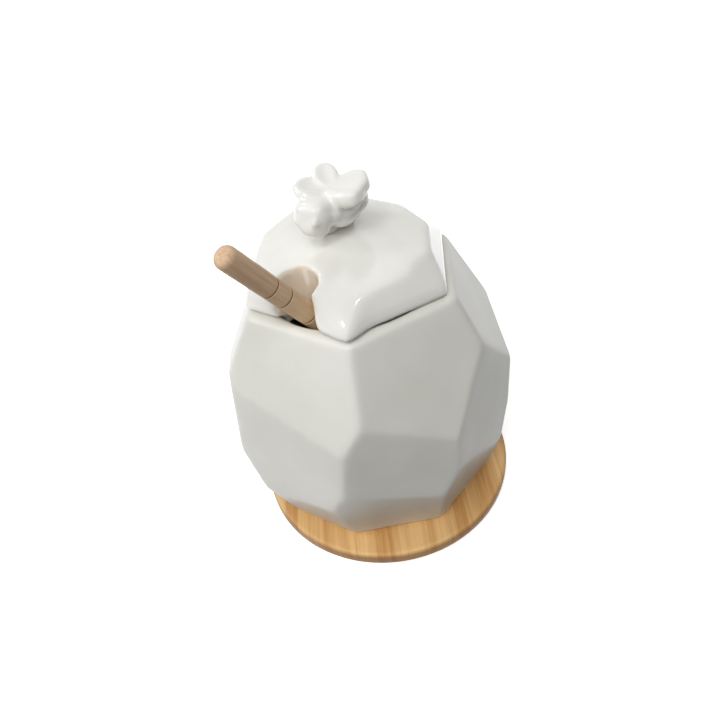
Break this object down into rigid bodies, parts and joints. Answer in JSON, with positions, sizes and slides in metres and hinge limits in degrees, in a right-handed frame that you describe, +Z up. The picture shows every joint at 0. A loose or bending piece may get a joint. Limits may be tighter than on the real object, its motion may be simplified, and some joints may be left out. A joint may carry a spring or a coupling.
{
  "type": "honey pot",
  "caption": "Faceted glazed honey pot with a lift-off lid and bee knob, a wooden dipper leaning out of the lid's notch, on a round wooden coaster.",
  "frame": {"origin": "middle of the coaster's flat underside, which stands on the table", "axes": "+Z up; the dipper leans out of the lid's notch towards -Y; +X to the right of somebody who looks along +Y at the notch"},
  "size_m": [0.1021, 0.1008, 0.1314],
  "materials": {
    "coaster_wood": "matt",
    "pot_glaze": "satin",
    "lid_glaze": "gloss",
    "dipper_wood": "matt"
  },
  "bodies": {
    "coaster": {"coaster": "coaster_wood"},
    "pot": {"pot_body": "pot_glaze"},
    "lid": {"lid": "lid_glaze", "bee_knob": "lid_glaze"},
    "dipper": {"dipper": "dipper_wood"}
  },
  "joints": [
    {"name": "pot_lift", "type": "slide", "parent": "coaster", "child": "pot", "axis": [0, 0, 1], "range_m": [0, 0.04]},
    {"name": "lid_lift", "type": "slide", "parent": "pot", "child": "lid", "axis": [0, 0, 1], "range_m": [0, 0.05]},
    {"name": "dipper_draw", "type": "slide", "parent": "pot", "child": "dipper", "axis": [-0.141, -0.5261, 0.8387], "range_m": [0, 0.03]}
  ]
}
